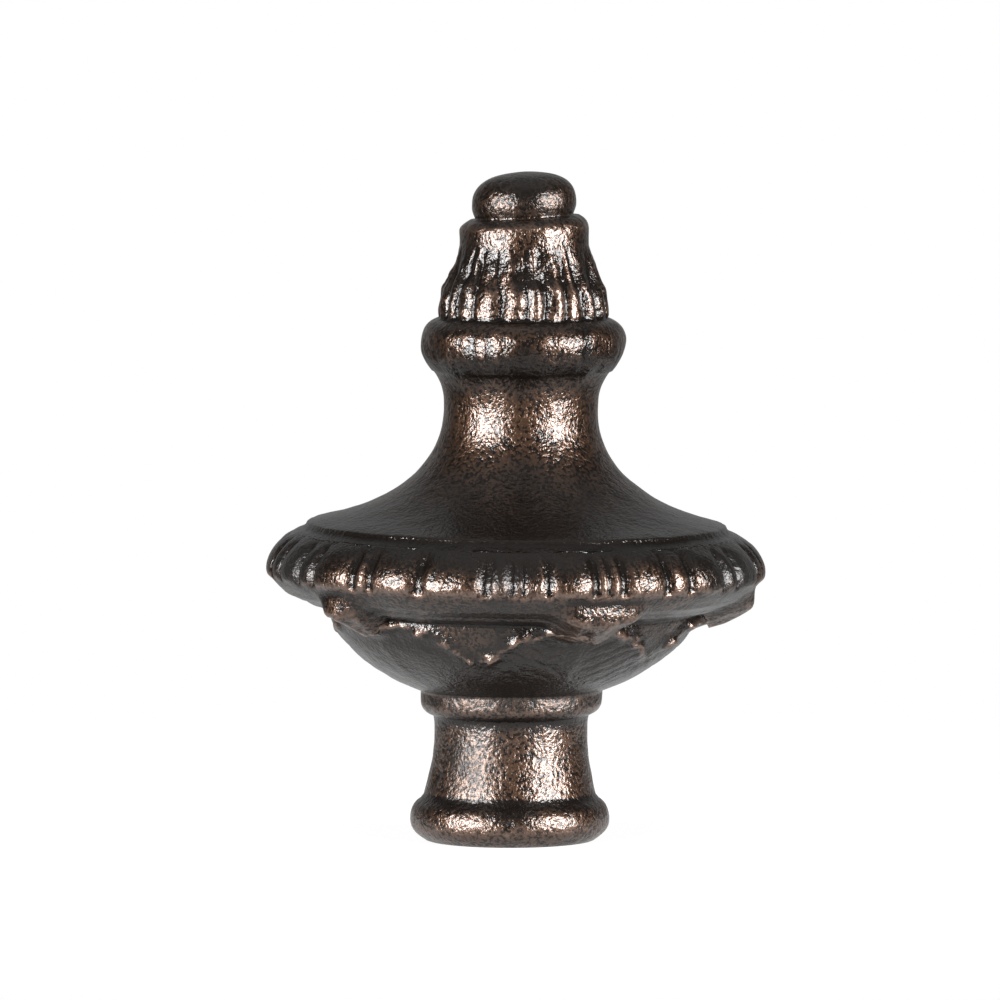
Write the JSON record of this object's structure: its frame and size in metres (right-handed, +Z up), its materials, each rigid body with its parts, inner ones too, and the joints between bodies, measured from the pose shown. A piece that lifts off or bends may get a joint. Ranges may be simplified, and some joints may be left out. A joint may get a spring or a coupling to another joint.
{
  "type": "lamp finial",
  "caption": "Cast metal lamp finial with a ring foot, waisted stem, leafy bowl, ribbed rim, sweeping neck, fluted bell and button, in a dark antique bronze finish.",
  "frame": {"origin": "centre of the underside of the ring foot, on the surface that it stands on", "axes": "+Z up along the stem towards the button, -Y towards the viewer of the picture, +X to the viewer's right"},
  "size_m": [0.033, 0.0327, 0.0444],
  "materials": {
    "antique_bronze": "dark brown bronze plating under a clear lacquer, rubbed to pale metal on the raised edges"
  },
  "bodies": {
    "root": {"finial_casting": "antique_bronze"}
  },
  "joints": []
}
